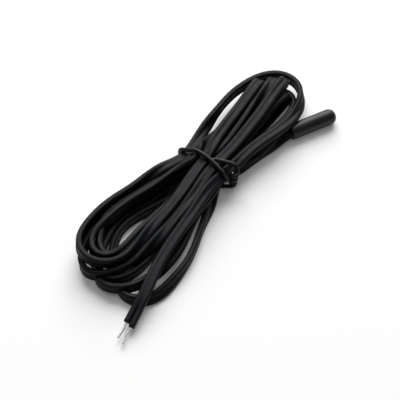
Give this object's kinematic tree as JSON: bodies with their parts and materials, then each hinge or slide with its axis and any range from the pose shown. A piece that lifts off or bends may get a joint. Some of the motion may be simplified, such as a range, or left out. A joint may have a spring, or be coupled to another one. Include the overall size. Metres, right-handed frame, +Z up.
{
  "type": "temperature sensor",
  "caption": "Thermistor probe: a moulded cylindrical head on a flat twin cord, wound into a tied hank, with stripped and tinned conductor ends.",
  "frame": {"origin": "under the middle of the probe head, on the surface that it lies on", "axes": "+X along the head towards its domed tip, +Z up"},
  "size_m": [0.098, 0.0721, 0.0099],
  "materials": {
    "head_moulding": "satin moulded thermoplastic",
    "cord_sheath": "satin extruded vinyl",
    "tie_sheath": "smooth vinyl coat",
    "tie_wire": "galvanised, cut ends",
    "tinned_wire": "dipped in tin",
    "bare_copper": "stranded",
    "splice_metal": "plated",
    "bead_coating": "epoxy",
    "resin": "cured epoxy",
    "sleeve_film": "polyimide tube"
  },
  "bodies": {
    "root": {"probe_jacket": "head_moulding", "potting": "resin", "thermistor_bead": "bead_coating", "bead_lead_a": "tinned_wire", "bead_lead_b": "tinned_wire", "lead_sleeve": "sleeve_film", "splice_a": "splice_metal", "splice_b": "splice_metal", "core_a": "bare_copper", "core_b": "bare_copper", "cord_lead": "cord_sheath", "cord_hank": "cord_sheath", "cord_tail": "cord_sheath", "tinned_end_a": "tinned_wire", "tinned_end_b": "tinned_wire", "tie_coat": "tie_sheath", "tie_core": "tie_wire"}
  },
  "joints": []
}
